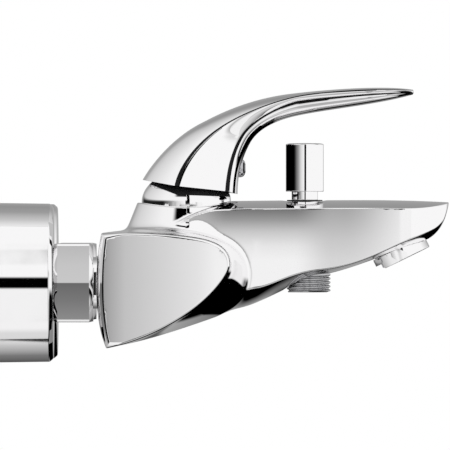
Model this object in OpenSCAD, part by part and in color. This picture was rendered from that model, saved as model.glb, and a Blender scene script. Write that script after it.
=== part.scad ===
// Wall mounted single lever bath and shower mixer.
// Frame: wall plane at x = 0, +X towards the user, +Z up, origin midway between the two wall threads.

/* [Wall connection] */
// Distance between the two wall threads
inlet_spacing = 150; // [140:1:160]
// Height of the mixer's inlets above the wall threads, set by the eccentric unions
inlet_rise = 12.5; // [11:0.5:14]
// Radius of the G 1/2 male thread that enters the wall fitting
wall_thread_r = 10.48; // [10:0.01:11]
// Length of that thread behind the wall plane
wall_thread_len = 14; // [10:1:20]
// Radius of the G 3/4 male thread that carries the union nut
nut_thread_r = 13.22; // [12.5:0.01:14]

/* [Escutcheons] */
// Outer radius at the wall
escutcheon_r = 37.8; // [36:0.1:42]
// Depth from the wall to the front face
escutcheon_depth = 25.8; // [24:0.1:26]
// Sheet thickness
escutcheon_wall = 1.3; // [1:0.1:2]

/* [Union nuts] */
// Width across the flats
nut_flats = 37.4; // [36:0.1:38]
// Length along the inlet axis
nut_len = 18.7; // [18:0.1:19]

/* [Body] */
// Half of the body's width, to each end face
wing_half = 94; // [92:0.5:96]
// Half of the spout's width
spout_half = 24.8; // [24:0.1:25]
// Distance from the wall to the tip of the spout
reach = 214.4; // [214:0.1:215]
// How far the top of the spout falls from its middle to its sides
crown = 3.9; // [3:0.1:4.2]

/* [Cartridge] */
// Distance from the wall to the cartridge axis
cartridge_x = 88.5; // [88:0.1:89]
// Radius of the cartridge housing
cartridge_r = 17.5; // [17.3:0.1:17.5]
// Radius of the domed cover
dome_r = 21.45; // [21:0.05:21.5]
// Height of the lever pivot above the inlet axis
pivot_z = 33; // [32.5:0.1:33.5]
// Travel of the moving ceramic disc over the lever's whole lift
disc_travel = 5; // [4:0.1:5]

/* [Diverter and shower outlet] */
// Distance from the wall to the diverter axis
diverter_x = 145.3; // [145:0.1:146]
// Radius of the diverter knob
knob_r = 9.1; // [9:0.1:9.5]
// Distance from the wall to the shower outlet axis
outlet_x = 147.2; // [146.5:0.1:147.5]
// Radius of the shower outlet's G 1/2 male thread
outlet_thread_r = 10.48; // [10.4:0.01:10.5]

/* [Aerator] */
// Tilt of the water jet from straight down, away from the wall
jet_tilt = 26; // [22:1:28]
// Radius of the aerator housing
aerator_r = 13.65; // [13.4:0.05:13.8]

/* [Hidden] */
$fn = 64;
SIDES = ["left", "right"];

// Levels along the inlet axis, from the wall
nut_x = escutcheon_depth + 0.1;
nut_end = nut_x + nut_len;
union_end = 34.4;
washer_end = union_end + 2;
flange_end = washer_end + 3.8;
tail_shoulder = 46.6;
// Levels of the cartridge and the diverter, above the inlet axis
chamber_floor = 4;
base_z = chamber_floor + 1.2;
disc_z = base_z + 4.8;
carrier_z = disc_z + 6.5;
turret_z = carrier_z + 4.2;
housing_top = 30;
collar_top = 38.06;
dome_z = 38.3;
dome_h = 15.3;
dome_cut = 0.78;
valve_seat = 9;
upper_seat = 21.3;
bonnet_floor = 28;
ring_seat = 36.8;
knob_z = 43.4;
knob_top = 66.7;
outlet_end = -4.94;
thread_top = 4;
outlet_root_r = 10;
lever_screw_z = 54.7;
aerator_at = [193, 11];

// Points on smooth outlines
function bezier(s, t) =
    let (u = 1 - t) u*u*u*s[0] + 3*u*u*t*s[1] + 3*u*t*t*s[2] + t*t*t*s[3];
function along(segments, t) =
    let (i = min(floor(t), len(segments) - 1)) bezier(segments[i], t - i);
function mix(a, b, k) = a + (b - a)*k;
// Closes rings of equal point count into a solid: rings in order, then a cap at each end
function loft_faces(n, m) = concat(
    [for (i = [0:m - 2], j = [0:n - 1], h = [0, 1])
        let (a = i*n + j, b = i*n + (j + 1) % n, c = a + n, d = b + n)
        h == 0 ? [a, d, b] : [a, c, d]],
    [for (j = [0:n - 1]) [n*m, j, (j + 1) % n]],
    [for (j = [0:n - 1]) [n*m + 1, (m - 1)*n + (j + 1) % n, (m - 1)*n + j]]);
function ring_middle(ring) = [for (a = [0:2]) let (v = [for (p = ring) p[a]]) (min(v) + max(v))/2];
module loft(rings) {
    n = len(rings[0]);
    m = len(rings);
    middles = [ring_middle(rings[0]), ring_middle(rings[m - 1])];
    polyhedron([for (r = rings, p = r) p, middles[0], middles[1]], loft_faces(n, m));
}
module mixer() translate([0, 0, inlet_rise]) children();
// A cylinder along +X, starting at the given distance from the wall
module tube_x(x, length, r) translate([x, 0, 0]) rotate([0, 90, 0]) cylinder(h = length, r = r);
module ring_z(z, h, outer, inner) translate([0, 0, z]) difference() {
    cylinder(h = h, r = outer);
    translate([0, 0, -1]) cylinder(h = h + 2, r = inner);
}
// A drilled passage between two points
module passage(a, b, r) {
    d = b - a;
    flat = norm([d.x, d.y]);
    translate(a) rotate([0, atan2(flat, d.z), atan2(d.y, d.x)]) cylinder(h = norm(d), r = r);
}
module coil(r, wire, z0, z1, turns) {
    steps = 12;
    sides = 6;
    closed = [for (i = [0:turns*steps]) let (a = 360*i/steps, z = mix(z0, z1, i/(turns*steps)))
        [for (j = [0:sides - 1]) let (b = 360*j/sides, q = r + wire*cos(b))
            [q*cos(a), q*sin(a), z + wire*sin(b)]]];
    loft(closed);
}
function side_y(side) = (side == "left" ? -1 : 1)*inlet_spacing/2;
module at_inlet(side) translate([0, side_y(side), inlet_rise]) children();

// ---- wall connection ----
module wall_union(side) color("lightgray") at_inlet(side) difference() {
    union() {
        translate([0, 0, -inlet_rise]) {
            tube_x(-wall_thread_len, wall_thread_len + 7, wall_thread_r);
            tube_x(6, 10, nut_thread_r);
        }
        translate([6, -nut_thread_r, -inlet_rise]) cube([10, 2*nut_thread_r, inlet_rise]);
        tube_x(6, union_end - 6, nut_thread_r);
    }
    translate([0, 0, -inlet_rise]) tube_x(-wall_thread_len - 1, wall_thread_len + 12, 7.5);
    tube_x(9, union_end, 9);
}
module escutcheon(side) color("silver") at_inlet(side) rotate([0, 90, 0]) difference() {
    rotate_extrude() polygon([
        [0, 0], [escutcheon_r, 0], [escutcheon_r - 0.35, escutcheon_depth - 1.4],
        [escutcheon_r - 0.8, escutcheon_depth - 0.4], [escutcheon_r - 1.8, escutcheon_depth],
        [0, escutcheon_depth]]);
    translate([0, 0, -1]) cylinder(h = escutcheon_depth - escutcheon_wall + 1, r = escutcheon_r - 0.4 - escutcheon_wall);
    cylinder(h = escutcheon_depth + 1, r = nut_thread_r + 0.15);
}
module union_nut(side) color("silver") at_inlet(side) difference() {
    intersection() {
        translate([nut_x, 0, 0]) rotate([0, 90, 0]) rotate(30)
            cylinder(h = nut_len, r = nut_flats/2/cos(30), $fn = 6);
        translate([nut_x, 0, 0]) rotate([0, 90, 0]) rotate_extrude() polygon([
            [0, 0], [nut_flats/2 - 0.3, 0], [nut_flats/2/cos(30), 1.8],
            [nut_flats/2/cos(30), nut_len - 1.8], [nut_flats/2 - 0.3, nut_len], [0, nut_len]]);
    }
    tube_x(nut_x - 1, flange_end - nut_x + 1, nut_thread_r + 0.05);
    tube_x(nut_x, nut_len + 1, 12.3);
}
module inlet_tailpiece(side) color("gray") at_inlet(side) difference() {
    union() {
        tube_x(washer_end, flange_end - washer_end, nut_thread_r - 0.1);
        tube_x(washer_end, tail_shoulder - washer_end, 12.25);
        tube_x(40, 18, 11);
    }
    tube_x(washer_end - 1, 24, 8.5);
}
module inlet_washer(side) color("dimgray") at_inlet(side) difference() {
    tube_x(union_end, 2, nut_thread_r - 0.2);
    tube_x(union_end - 1, 4, 9);
}
module inlet_strainer(side) color("gainsboro") at_inlet(side) difference() {
    union() {
        tube_x(union_end - 5, 5, 8.9);
        tube_x(union_end, 1, 8.9);
    }
    tube_x(union_end - 4.4, 8, 8.3);
    for (a = [0:60:300], r = [2.6, 5.6])
        rotate([a + 5*r, 0, 0]) translate([0, 0, r]) tube_x(union_end - 6, 3, 0.9);
}

// ---- body ----
// Outlines of the body in the X-Z plane, each from its rear bottom corner up the back, over the top,
// round the nose and back along the underside. "face" bounds the flat end face, "shoulder" lies 2 mm
// behind it, and "middle" is the outline beside the spout.
face_outline = [
    [[51.2, -29.3], [47.2, -9], [47, 6], [51.7, 21.2]],
    [[51.7, 21.2], [66, 22.4], [86, 21.6], [96.8, 19.1]],
    [[96.8, 19.1], [104.5, 17.2], [107.8, 14], [107.8, 8.4]],
    [[107.8, 8.4], [107.8, 4.2], [100, -5], [90.1, -12.2]],
    [[90.1, -12.2], [79.5, -20.2], [65, -26.4], [51.2, -29.3]]];
shoulder_outline = [
    [[50.9, -31], [44.6, -17], [45.2, 9], [48.6, 23.4]],
    [[48.6, 23.4], [60, 24], [84, 23.4], [97.4, 20.4]],
    [[97.4, 20.4], [105.8, 18.2], [109.2, 14.6], [109.2, 8.4]],
    [[109.2, 8.4], [109.2, 3.6], [101, -6.4], [90.9, -13.6]],
    [[90.9, -13.6], [80, -21.4], [66, -28.2], [50.9, -31]]];
middle_outline = [
    [[51, -31.2], [44.6, -17], [45.2, 9], [48.4, 23.6]],
    [[48.4, 23.6], [62, 25.5], [84, 27.5], [99.2, 22]],
    [[99.2, 22], [108, 19.5], [116.5, 15], [117.3, 4.8]],
    [[117.3, 4.8], [117.6, -5], [112, -13.3], [101.5, -17]],
    [[101.5, -17], [86, -22.5], [66, -29.2], [51, -31.2]]];
outline_points = 35;
// How much of the middle outline shows at a distance y from the centre plane
function flare(y) = y <= 26 ? 1 : pow((wing_half - 2 - y)/(wing_half - 28), 2.2);
function wing_ring(y) = [for (i = [0:outline_points - 1])
    let (t = 5*i/outline_points, d = abs(y),
        p = d > wing_half - 1 ? along(face_outline, t)
            : mix(along(shoulder_outline, t), along(middle_outline, t), flare(d)))
    [p.x, y, p.y]];
wing_stations = [94, 92, 74, 60, 48, 39, 32, 26];
module wing() loft([
    for (i = [0:7]) wing_ring(-wing_stations[i]/94*wing_half),
    for (i = [7:-1:0]) wing_ring(wing_stations[i]/94*wing_half)]);

// The spout: its top line, its side-to-underside edge and its underside, by distance from the wall
function deck_z(x) = x < 175 ? 39.3 - 1.2*pow((x - 175)/110, 2) : 39.3 - 1.04*pow((x - 175)/39.4, 2);
function spout_w(x) = x < cartridge_x ? 24.5*sqrt(max(0.0016, 1 - pow((x - cartridge_x)/23.5, 2)))
    : x < 190 ? mix(24.5, spout_half, min(1, (x - cartridge_x)/40))
    : spout_half*pow(max(0.0001, 1 - pow((x - 190)/(reach - 190), 2.3)), 1/2.3);
edge_line = [
    [[65, -8], [90, -8], [110, -6], [121, -2.8]],
    [[121, -2.8], [129, -2.4], [137, 4], [151, 5.6]],
    [[151, 5.6], [166, 7], [176, 11.4], [190, 18]],
    [[190, 18], [200, 22.5], [212, 25.5], [214.4, 38]]];
under_line = [
    [[65, -14], [80, -14], [106, -16.5], [121, -10.3]],
    [[121, -10.3], [134, -5], [143, 1], [151, 3]],
    [[151, 3], [163, 4.6], [176, 10.2], [190, 15]],
    [[190, 15], [203, 19.6], [211.6, 20.5], [214.4, 37.6]]];
spout_steps = 32;
function spout_ring(t) =
    let (e = along(edge_line, t), u = along(under_line, t), x = u.x, w = spout_w(x), top = deck_z(x),
        side = top - crown*pow(w/25, 2), low = min(e.y, side - 0.3), keel = min(u.y, low - 0.1),
        soft = t < 2 ? 1 : mix(1, 0.72, t - 2 > 1 ? 1 : t - 2))
    [for (p = [[0, top], [-0.5*w, mix(top, side, 0.25)], [-w, side], [-w, mix(side, low, 0.5)],
        [-w*mix(1, soft, 0.5), mix(side, low, 0.85)], [-w*soft, low], [-w*0.5*soft, mix(low, keel, 0.75)],
        [0, keel], [w*0.5*soft, mix(low, keel, 0.75)], [w*soft, low],
        [w*mix(1, soft, 0.5), mix(side, low, 0.85)], [w, mix(side, low, 0.5)], [w, side],
        [0.5*w, mix(top, side, 0.25)]]) [x, p.x, p.y]];
module spout() loft([for (i = [0:spout_steps]) spout_ring(4*i/spout_steps)]);

module body() color("silver") mixer() difference() {
    union() {
        wing();
        spout();
        translate([cartridge_x, 0, 18]) cylinder(h = 17.2, r1 = 31.6, r2 = 24.6);
    }
    translate([cartridge_x, 0, 0]) {
        translate([0, 0, chamber_floor]) cylinder(h = 40, r = cartridge_r + 0.1);
        translate([0, 0, housing_top]) cylinder(h = 20, r = 19.5);
        translate([0, 0, 35.6]) cylinder(h = 10, r = dome_r + 0.15);
        for (y = [-7, 7]) translate([-5.5, y, -3]) cylinder(h = 8, r = 3.2);
        translate([8.5, 0, -3]) cylinder(h = 8, r = 3.2);
    }
    for (s = [-1, 1]) {
        translate([0, s*inlet_spacing/2, 0]) {
            tube_x(40, tail_shoulder - 40, 12.3);
            tube_x(40, 18, 11);
            tube_x(50, 14, 8.5);
        }
        passage([60, s*inlet_spacing/2, 0], [cartridge_x - 5.5, s*7, -3], 5);
    }
    passage([cartridge_x + 8.5, 0, -3], [diverter_x - 4, 0, 14], 4);
    translate([diverter_x, 0, 0]) {
        translate([0, 0, valve_seat - 1]) cylinder(h = upper_seat - valve_seat + 1, r = 8.2);
        cylinder(h = 40, r = 5.5);
        translate([0, 0, 24]) cylinder(h = 30, r = 8.05);
        translate([0, 0, ring_seat]) cylinder(h = 10, r = 8.6);
    }
    translate([outlet_x, 0, -20]) {
        cylinder(h = 20 + thread_top, r = outlet_thread_r + 1.4);
        cylinder(h = 20 + valve_seat, r = outlet_root_r + 0.02);
    }
    passage([diverter_x, 0, 26.2], [187, 0, 26.2], 4.5);
    translate([aerator_at.x, 0, aerator_at.y]) rotate([0, 180 - jet_tilt, 0]) {
        translate([0, 0, -6]) cylinder(h = 30, r = aerator_r + 0.1);
        translate([0, 0, -14]) cylinder(h = 20, r = 12.5);
        translate([0, 0, -19]) cylinder(h = 20, r = 8);
    }
}

// ---- cartridge ----
module at_cartridge() translate([cartridge_x, 0, inlet_rise]) children();
module ports(z, h, r) {
    for (y = [-7, 7]) translate([-5.5, y, z]) cylinder(h = h, r = r);
    translate([8.5, 0, z]) cylinder(h = h, r = r);
}
module cartridge_seal() color("dimgray") at_cartridge() difference() {
    union() {
        translate([0, 0, chamber_floor]) cylinder(h = 0.7, r = 16.5);
        ports(chamber_floor, 1.2, 5);
    }
    ports(chamber_floor - 1, 4, 3.2);
}
module cartridge_base() color("white") at_cartridge() difference() {
    union() {
        translate([0, 0, base_z]) cylinder(h = disc_z - base_z, r = 15);
        translate([0, 0, base_z]) cylinder(h = 1.5, r = 17.2);
    }
    ports(base_z - 1, 8, 3.2);
}
module fixed_disc() color("white") at_cartridge() difference() {
    translate([0, 0, disc_z]) cylinder(h = 3.5, r = 14.2);
    ports(disc_z - 1, 6, 2.6);
}
module moving_disc() color("whitesmoke") at_cartridge() translate([-disc_travel/2, 0, disc_z + 3.52])
    difference() {
        cylinder(h = 3, r = 11.5);
        translate([3, 0, -1]) cylinder(h = 2.4, r = 6.5);
    }
module disc_carrier() color("ivory") at_cartridge() translate([-disc_travel/2, 0, carrier_z + 0.02])
    difference() {
        cylinder(h = 3.9, r = 11.5);
        translate([disc_travel/2, 0, 0.6]) cylinder(h = 8, r = 3.3);
        for (a = [60:60:300]) rotate(a) translate([8.6, 0, 1.5]) cylinder(h = 5, r = 1.4);
    }
module cartridge_turret() color("ivory") at_cartridge() difference() {
    union() {
        translate([0, 0, turret_z]) cylinder(h = 28.1 - turret_z, r = 14.8);
        translate([0, 0, 28]) cylinder(h = 9, r = 10.5);
    }
    translate([-7, -4.1, turret_z - 1]) cube([15.6, 8.2, 30]);
    translate([0, -20, pivot_z]) rotate([-90, 0, 0]) cylinder(h = 40, r = 1.5);
}
module spindle_pin() color("lightgray") at_cartridge()
    translate([0, -10.3, pivot_z]) rotate([-90, 0, 0]) cylinder(h = 20.6, r = 1.5);
module spindle() color("lightgray") at_cartridge() difference() {
    union() {
        translate([-4, -4, pivot_z - 4]) cube([8, 8, 29]);
        translate([0, 0, carrier_z + 3.8]) cylinder(h = 10, r = 2.4);
        translate([0, 0, carrier_z + 3.6]) sphere(r = 2.9);
    }
    translate([0, -20, pivot_z]) rotate([-90, 0, 0]) cylinder(h = 40, r = 1.55);
}
module cartridge_housing() color("whitesmoke") at_cartridge() difference() {
    translate([0, 0, base_z + 1.55]) cylinder(h = housing_top - base_z - 1.55, r = cartridge_r);
    translate([0, 0, base_z]) cylinder(h = 23, r = 15.05);
    translate([0, 0, base_z]) cylinder(h = 28.2 - base_z, r = 14.85);
    translate([0, 0, base_z]) cylinder(h = 18.2 - base_z + 2, r = 15.4);
    cylinder(h = 40, r = 10.56);
}
module retaining_nut() color("goldenrod") at_cartridge() difference() {
    ring_z(housing_top + 0.05, 5.4, 19.45, 13.4);
    for (a = [0:60:300]) rotate(a) translate([13, -2, housing_top + 3]) cube([3.5, 4, 6]);
}
module dome_cover() color("silver") at_cartridge() rotate_extrude() polygon([
    [dome_r, 35.7],
    for (i = [0:8]) let (h = i/8*dome_cut) [dome_r*sqrt(1 - h*h), dome_z + dome_h*h],
    for (i = [8:-1:0]) let (h = i/8*dome_cut) [(dome_r - 1)*sqrt(1 - h*h), dome_z + (dome_h - 1)*h],
    [dome_r - 1, 35.7]]);

// ---- lever ----
// Guide lines of the lever in the X-Z plane, from the hood's lower edge to the tip: the back and top,
// the ridge between top and side, the side's front edge, and the belly
back_line = [
    [[67.5, 49], [70.5, 54.5], [81, 69.5], [97.5, 77.2]],
    [[97.5, 77.2], [110.5, 84.1], [124, 88.6], [139, 90.4]],
    [[139, 90.4], [158, 92.7], [184, 94.4], [197.2, 92.3]]];
ridge_line = [
    [[83.2, 46.1], [84.6, 53.5], [90.5, 63], [100.3, 70.8]],
    [[100.3, 70.8], [109.5, 78.2], [124.5, 84.8], [140.7, 88.7]],
    [[140.7, 88.7], [155, 91.6], [180, 93.2], [197.5, 91.8]]];
front_line = [
    [[108.7, 43.4], [109.2, 51.5], [110.5, 61.5], [115.4, 69.8]],
    [[115.4, 69.8], [118.9, 76], [129, 83], [141.6, 86.4]],
    [[141.6, 86.4], [158, 88.8], [180, 90.4], [197.6, 90.8]]];
belly_line = [
    [[113.1, 42.2], [113.1, 50], [114.5, 58.5], [119.5, 67.4]],
    [[119.5, 67.4], [123.5, 73.8], [131.5, 77.8], [143, 80.1]],
    [[143, 80.1], [158, 83.2], [182, 85.4], [197.2, 90]]];
lever_steps = 27;
function tip_round(t) = t < 2.6 ? 1 : sqrt(max(0.0004, 1 - pow((t - 2.6)/0.4, 2.4)));
function ridge_w(t) = mix(22.5, 11.5, min(1, pow(t/2.6, 0.9)))*tip_round(t);
function front_w(t) = mix(18, 8, min(1, pow(t/2.6, 0.8)))*tip_round(t);
function lever_ring(t) =
    let (b = along(back_line, t), r = along(ridge_line, t), f = along(front_line, t), k = along(belly_line, t),
        wr = ridge_w(t), wf = front_w(t),
        half = [[b, 0], [mix(b, r, 0.08), 0.38*wr], [mix(b, r, 0.3), 0.7*wr], [mix(b, r, 0.62), 0.92*wr], [r, wr],
            [mix(r, f, 0.5), mix(wr, wf, 0.42)], [f, wf], [mix(f, k, 0.62), 0.7*wf], [mix(f, k, 0.9), 0.36*wf], [k, 0]],
        n = len(half))
    [for (i = [0:2*n - 3]) let (q = i < n ? half[i] : half[2*n - 2 - i], s = i < n ? -1 : 1) [q[0].x, s*q[1], q[0].y]];
module lever() color("silver") mixer() difference() {
    loft([for (i = [0:lever_steps]) lever_ring(3*i/lever_steps)]);
    translate([cartridge_x, 0, pivot_z]) sphere(r = 23);
    translate([cartridge_x - 4.05, -4.05, pivot_z]) cube([8.1, 8.1, 25.2]);
    translate([0, 0, lever_screw_z]) {
        tube_x(cartridge_x, 40, 2.5);
        tube_x(111, 20, 4.5);
    }
}
module indicator_plug() color("dimgray") mixer() translate([111, 0, lever_screw_z]) rotate([0, 90, 0])
    rotate_extrude() polygon([[0, 0], [4.45, 0], [4.45, 3.6], [4.1, 4.7], [3.2, 5.5], [1.8, 5.95], [0, 6.05]]);
module grub_screw() color("gray") mixer() translate([0, 0, lever_screw_z]) difference() {
    tube_x(cartridge_x + 4.05, 10, 2.48);
    translate([cartridge_x + 11, 0, 0]) rotate([0, 90, 0]) cylinder(h = 5, r = 1.45, $fn = 6);
}

// ---- diverter ----
module at_diverter() translate([diverter_x, 0, inlet_rise]) children();
module diverter_bonnet() color("silver") at_diverter() difference() {
    union() {
        translate([0, 0, bonnet_floor]) cylinder(h = 11, r = 8);
        translate([0, 0, ring_seat + 0.05]) cylinder(h = 1.25, r = 8.55);
        translate([0, 0, bonnet_floor]) cylinder(h = 27.6, r = 6.3);
    }
    cylinder(h = 80, r = 2.05);
    translate([0, 0, 52]) cylinder(h = 10, r = 3.6);
}
module diverter_gland_ring() color("black") at_diverter() ring_z(52.02, 2, 3.55, 2.07);
module diverter_rod() color("lightgray") at_diverter() translate([0, 0, 13])
    cylinder(h = 49, r = 2);
module diverter_valve() color("goldenrod") at_diverter() difference() {
    union() {
        translate([0, 0, valve_seat + 0.8]) cylinder(h = 2.2, r = 7.2);
        translate([0, 0, valve_seat + 2.9]) cylinder(h = 3.1, r = 3);
    }
    translate([0, 0, 13]) cylinder(h = 8, r = 2);
}
module diverter_lower_seal() color("dimgray") at_diverter()
    translate([0, 0, valve_seat + 0.05]) cylinder(h = 0.75, r = 7.1);
module diverter_upper_seal() color("dimgray") at_diverter() ring_z(valve_seat + 3, 0.8, 7.1, 4.8);
module diverter_spring() color("lightgray") at_diverter() coil(3.7, 0.35, valve_seat + 3.5, bonnet_floor - 0.4, 6);
module diverter_knob() color("silver") at_diverter() difference() {
    rotate_extrude() polygon([[0, knob_z], [knob_r - 0.3, knob_z], [knob_r, knob_z + 0.3],
        [knob_r, knob_top - 1.2], [knob_r - 0.35, knob_top - 0.55], [knob_r - 2, knob_top - 0.3], [0, knob_top]]);
    translate([0, 0, knob_z - 1]) cylinder(h = 14.5, r = 6.6);
    cylinder(h = 62, r = 2);
}

// ---- shower outlet ----
module at_outlet() translate([outlet_x, 0, inlet_rise]) children();
thread_pitch = 1.9;
module outlet_nipple() color("silver") at_outlet() difference() {
    union() {
        translate([0, 0, outlet_end]) cylinder(h = thread_top - outlet_end, r = outlet_thread_r);
        translate([0, 0, outlet_end]) cylinder(h = valve_seat - outlet_end, r = outlet_root_r);
    }
    for (i = [0:3]) translate([0, 0, outlet_end + 1.3 + i*thread_pitch]) difference() {
        cylinder(h = 1, r = outlet_thread_r + 1);
        translate([0, 0, -1]) cylinder(h = 4, r = outlet_thread_r - 0.9);
    }
    translate([0, 0, outlet_end - 1]) cylinder(h = 6.5 - outlet_end + 1, r = 7);
    cylinder(h = 20, r = 4.9);
}
module outlet_gasket() color("black") at_outlet() ring_z(5.6, 0.85, 6.9, 5);
module check_cage() color("white") at_outlet() difference() {
    translate([0, 0, outlet_end + 0.5]) cylinder(h = 5.55 - outlet_end - 0.5, r = 6.95);
    translate([0, 0, -1.4]) cylinder(h = 5.9, r = 5.6);
    translate([0, 0, 0]) cylinder(h = 9, r = 4);
    for (a = [0:90:270]) rotate(a) translate([3.9, 0, outlet_end - 1]) cylinder(h = 8, r = 1.6);
    translate([0, 0, outlet_end - 1]) cylinder(h = 8, r = 1.05);
}
module check_poppet() color("dimgray") at_outlet() union() {
    translate([0, 0, 3.3]) cylinder(h = 1.15, r = 4.9);
    translate([0, 0, -3.2]) cylinder(h = 7, r = 1);
}
module check_spring() color("lightgray") at_outlet() coil(2.3, 0.25, -1.1, 3, 4);

// ---- aerator ----
// Children are drawn with the outlet face at z = 0 and the jet leaving along +Z
module at_aerator() translate([aerator_at.x, 0, aerator_at.y + inlet_rise])
    rotate([0, 180 - jet_tilt, 0]) children();
module aerator_housing() color("silver") at_aerator() difference() {
    union() {
        translate([0, 0, -5.9]) cylinder(h = 5.9, r = aerator_r);
        translate([0, 0, -11]) cylinder(h = 6, r = 12.4);
    }
    translate([0, 0, -12]) cylinder(h = 20, r = 11);
    translate([5.5, -9, -2.6]) cube([20, 18, 5]);
}
module aerator_gasket() color("black") at_aerator() ring_z(-13.2, 2.1, 12.3, 8.8);
module aerator_insert() color("gainsboro") at_aerator() difference() {
    translate([0, 0, -11]) cylinder(h = 10.4, r = 10.95);
    translate([0, 0, -9.5]) cylinder(h = 20, r = 9.4);
    for (a = [0:45:315]) rotate(a) translate([6, 0, -12]) cylinder(h = 8, r = 1.3);
}
module aerator_screen() color("silver") at_aerator() difference() {
    translate([0, 0, -3.2]) cylinder(h = 1.2, r = 9.35);
    for (i = [-3:3], j = [-3:3])
        if (norm([i, j])*2.3 < 7.6)
            translate([i*2.3 - 0.85, j*2.3 - 0.85, -5]) cube([1.7, 1.7, 6]);
}

for (side = SIDES) {
    wall_union(side);
    escutcheon(side);
    union_nut(side);
    inlet_tailpiece(side);
    inlet_washer(side);
    inlet_strainer(side);
}
body();
cartridge_seal();
cartridge_base();
fixed_disc();
moving_disc();
disc_carrier();
cartridge_turret();
spindle_pin();
spindle();
cartridge_housing();
retaining_nut();
dome_cover();
lever();
indicator_plug();
grub_screw();
diverter_bonnet();
diverter_gland_ring();
diverter_rod();
diverter_valve();
diverter_lower_seal();
diverter_upper_seal();
diverter_spring();
diverter_knob();
outlet_nipple();
outlet_gasket();
check_cage();
check_poppet();
check_spring();
aerator_housing();
aerator_gasket();
aerator_insert();
aerator_screen();
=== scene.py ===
"""Looks for the wall mounted bath and shower mixer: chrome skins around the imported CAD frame.

Shapes are worked out in the mixer's own millimetres (x from the wall, z from the inlet axis), then
placed in the row frame, whose origin lies midway between the two wall threads.
"""

import math

import bmesh
import bpy
import numpy as np
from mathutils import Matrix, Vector


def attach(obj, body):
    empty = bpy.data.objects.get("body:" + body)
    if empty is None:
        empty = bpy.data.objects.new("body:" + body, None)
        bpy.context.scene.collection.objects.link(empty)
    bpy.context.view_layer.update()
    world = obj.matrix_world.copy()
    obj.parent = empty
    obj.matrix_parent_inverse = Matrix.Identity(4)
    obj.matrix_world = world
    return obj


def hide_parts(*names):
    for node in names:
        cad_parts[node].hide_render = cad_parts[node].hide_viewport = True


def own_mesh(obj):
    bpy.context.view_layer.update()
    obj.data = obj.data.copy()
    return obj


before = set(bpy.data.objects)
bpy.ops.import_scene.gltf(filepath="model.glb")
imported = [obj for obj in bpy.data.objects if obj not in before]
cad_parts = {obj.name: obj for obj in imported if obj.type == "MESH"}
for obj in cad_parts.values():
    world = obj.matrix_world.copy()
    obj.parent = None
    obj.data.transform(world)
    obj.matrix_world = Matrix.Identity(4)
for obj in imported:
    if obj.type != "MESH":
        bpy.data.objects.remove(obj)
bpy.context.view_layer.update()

MM = 0.001
INLET_RISE = 12.5
SIDE_Y = 75.0
# Rotations that take a piece drawn along +Z to its own axis
UP = np.eye(3)
OUT = np.array([[0, 0, 1], [0, 1, 0], [-1, 0, 0]], float)

# ---- materials


def new_material(name, slot, colour, metallic, roughness):
    """A principled material with the values that are the same all over it."""
    mat = bpy.data.materials.new(name)
    mat.use_nodes = True
    mat["slot"] = slot
    shader = mat.node_tree.nodes["Principled BSDF"]
    shader.inputs["Base Color"].default_value = (*colour, 1)
    shader.inputs["Metallic"].default_value = metallic
    shader.inputs["Roughness"].default_value = roughness
    return mat


def drive(mat, output, socket):
    """Feeds a socket of the material's principled shader."""
    mat.node_tree.links.new(output, mat.node_tree.nodes["Principled BSDF"].inputs[socket])


def add_node(mat, kind, **inputs):
    """A new node with some of its inputs set. An underscore stands for a space in an input's name."""
    node = mat.node_tree.nodes.new(kind)
    for key, value in inputs.items():
        node.inputs[key.replace("_", " ")].default_value = value
    return node


def surface_noise(mat, scale, detail, stretch=(1, 1, 1)):
    """Noise in the piece's own metres, which stays put on the piece."""
    coords = add_node(mat, "ShaderNodeTexCoord")
    mapping = add_node(mat, "ShaderNodeMapping", Scale=stretch)
    noise = add_node(mat, "ShaderNodeTexNoise", Scale=scale, Detail=detail)
    link = mat.node_tree.links.new
    link(coords.outputs["Object"], mapping.inputs["Vector"])
    link(mapping.outputs["Vector"], noise.inputs["Vector"])
    return noise


def vary(mat, noise, socket, low, high):
    """Drives a shader socket between low and high from a noise."""
    spread = add_node(mat, "ShaderNodeMapRange", From_Min=0.3, From_Max=0.7, To_Min=low, To_Max=high)
    mat.node_tree.links.new(noise.outputs["Fac"], spread.inputs["Value"])
    drive(mat, spread.outputs["Result"], socket)


def bump(mat, noise, depth):
    node = add_node(mat, "ShaderNodeBump", Strength=1.0, Distance=depth)
    mat.node_tree.links.new(noise.outputs["Fac"], node.inputs["Height"])
    drive(mat, node.outputs["Normal"], "Normal")


def tint(mat, noise, dark, light):
    """Varies the base colour between two close colours."""
    ramp = add_node(mat, "ShaderNodeValToRGB")
    for element, position, colour in zip(ramp.color_ramp.elements, (0.35, 0.65), (dark, light)):
        element.position = position
        element.color = (*colour, 1)
    mat.node_tree.links.new(noise.outputs["Fac"], ramp.inputs["Fac"])
    drive(mat, ramp.outputs["Color"], "Base Color")


GRAIN_DEPTH = 0.03 * MM


def chrome():
    mat = new_material("chrome", "chrome", (0.93, 0.925, 0.93), 1.0, 0.03)
    vary(mat, surface_noise(mat, 45, 4), "Roughness", 0.018, 0.045)
    return mat


def metal(name, dark, light, low, high, grain=900, slot=None):
    """A metal whose roughness varies from low to high, with fine turning marks along its axis."""
    mat = new_material(name, slot or name, light, 1.0, high)
    tint(mat, surface_noise(mat, 120, 3), dark, light)
    vary(mat, surface_noise(mat, 60, 3), "Roughness", low, high)
    bump(mat, surface_noise(mat, grain, 2, (1, 1, 0.08)), GRAIN_DEPTH)
    return mat


def plastic(name, dark, light, low, high):
    """A plastic, rubber or ceramic whose roughness varies from low to high, with a fine even grain."""
    mat = new_material(name, name, light, 0.0, high)
    tint(mat, surface_noise(mat, 150, 3), dark, light)
    vary(mat, surface_noise(mat, 90, 3), "Roughness", low, high)
    bump(mat, surface_noise(mat, 1500, 3), GRAIN_DEPTH)
    return mat


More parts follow.
